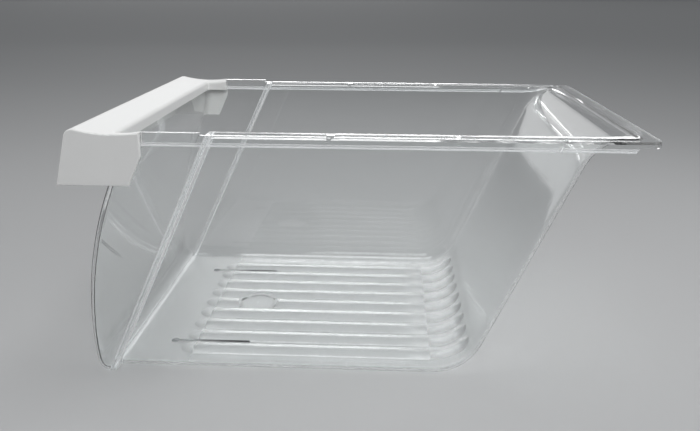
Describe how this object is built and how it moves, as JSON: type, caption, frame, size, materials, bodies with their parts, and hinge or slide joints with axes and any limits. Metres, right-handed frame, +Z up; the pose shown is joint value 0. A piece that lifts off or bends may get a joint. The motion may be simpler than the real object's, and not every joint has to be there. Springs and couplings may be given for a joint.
{
  "type": "crisper drawer",
  "caption": "Clear moulded refrigerator crisper drawer with a ridged floor, a leaning rear wall, rail rims and a white handle along the bowed front.",
  "frame": {"origin": "on the shelf plane, under the middle of the drawer's length and width", "axes": "+Y towards the rear of the refrigerator, along the sliding direction; -Y is the front with the handle; +Z up; X across"},
  "size_m": [0.333, 0.451, 0.2094],
  "materials": {
    "clear_tub": "clear, polished",
    "clear_front": "clear, polished",
    "white_trim": "semi-gloss"
  },
  "bodies": {
    "root": {"tub": "clear_tub", "front_shell": "clear_front", "handle_trim": "white_trim"}
  },
  "joints": []
}
